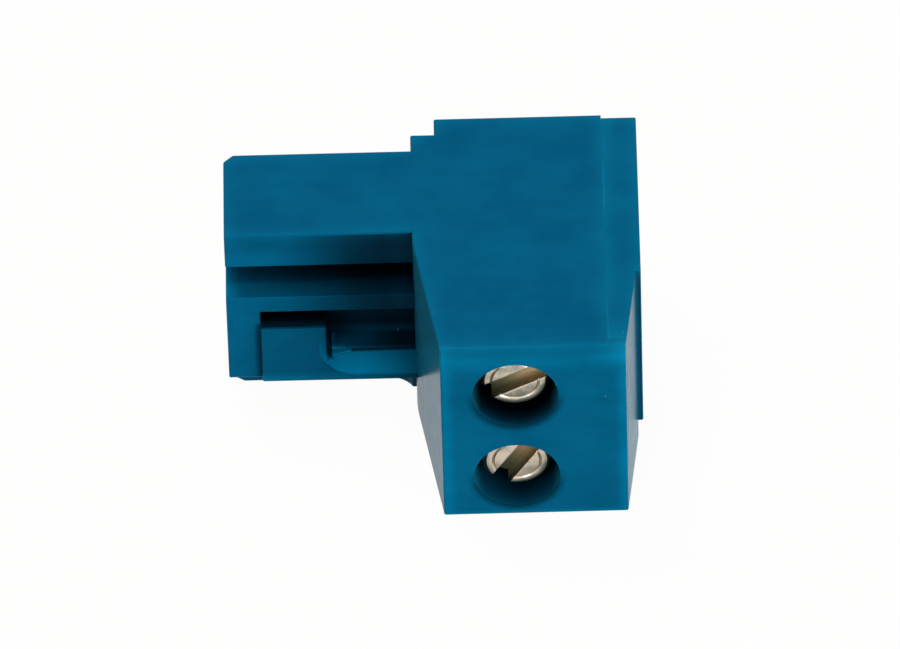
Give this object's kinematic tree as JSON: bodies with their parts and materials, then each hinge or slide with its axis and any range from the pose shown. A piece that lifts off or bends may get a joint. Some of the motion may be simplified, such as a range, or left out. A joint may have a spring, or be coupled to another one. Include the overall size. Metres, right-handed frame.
{
  "type": "pluggable screw terminal block",
  "caption": "Pluggable terminal block with recessed slotted clamp screws, round wire entries opposite the plug nose and a keyed nose with pin sockets.",
  "frame": {"origin": "middle of the bounding box on the surface that the part lies on, below its lower end face", "axes": "+X from the plug nose to the wire entries, -Y towards the screw face, +Z along the pole row to the upper end face"},
  "size_m": [0.0186, 0.0148, 0.0106],
  "materials": {
    "housing_plastic": "moulded blue polyamide with a soft satin gloss",
    "cover_plastic": "moulded blue polyamide with a soft satin gloss",
    "contact_metal": "tin-plated copper alloy sheet, dull silver",
    "cage_metal": "nickel-plated brass, satin",
    "screw_metal": "zinc-plated steel, bright"
  },
  "bodies": {
    "body": {"housing": "housing_plastic", "wire_cover": "cover_plastic", "contact_1": "contact_metal", "contact_2": "contact_metal"},
    "screw_1": {"screw_1": "screw_metal"},
    "cage_1": {"cage_1": "cage_metal"},
    "screw_2": {"screw_2": "screw_metal"},
    "cage_2": {"cage_2": "cage_metal"}
  },
  "joints": [
    {"name": "screw_1_turn", "type": "hinge", "parent": "body", "child": "screw_1", "pos_m": [0.00357, -0.00052, 0.00247], "axis": [0, 1, 0], "range_deg": [0, 2000]},
    {"name": "cage_1_rise", "type": "slide", "parent": "body", "child": "cage_1", "axis": [0, -1, 0], "range_m": [0, 0.0025]},
    {"name": "screw_2_turn", "type": "hinge", "parent": "body", "child": "screw_2", "pos_m": [0.00357, -0.00052, 0.00755], "axis": [0, 1, 0], "range_deg": [0, 2000]},
    {"name": "cage_2_rise", "type": "slide", "parent": "body", "child": "cage_2", "axis": [0, -1, 0], "range_m": [0, 0.0025]}
  ],
  "couplings": [
    {"joint": "screw_1_turn", "follows": "cage_1_rise", "rad_per_m": 13963},
    {"joint": "screw_2_turn", "follows": "cage_2_rise", "rad_per_m": 13963}
  ]
}
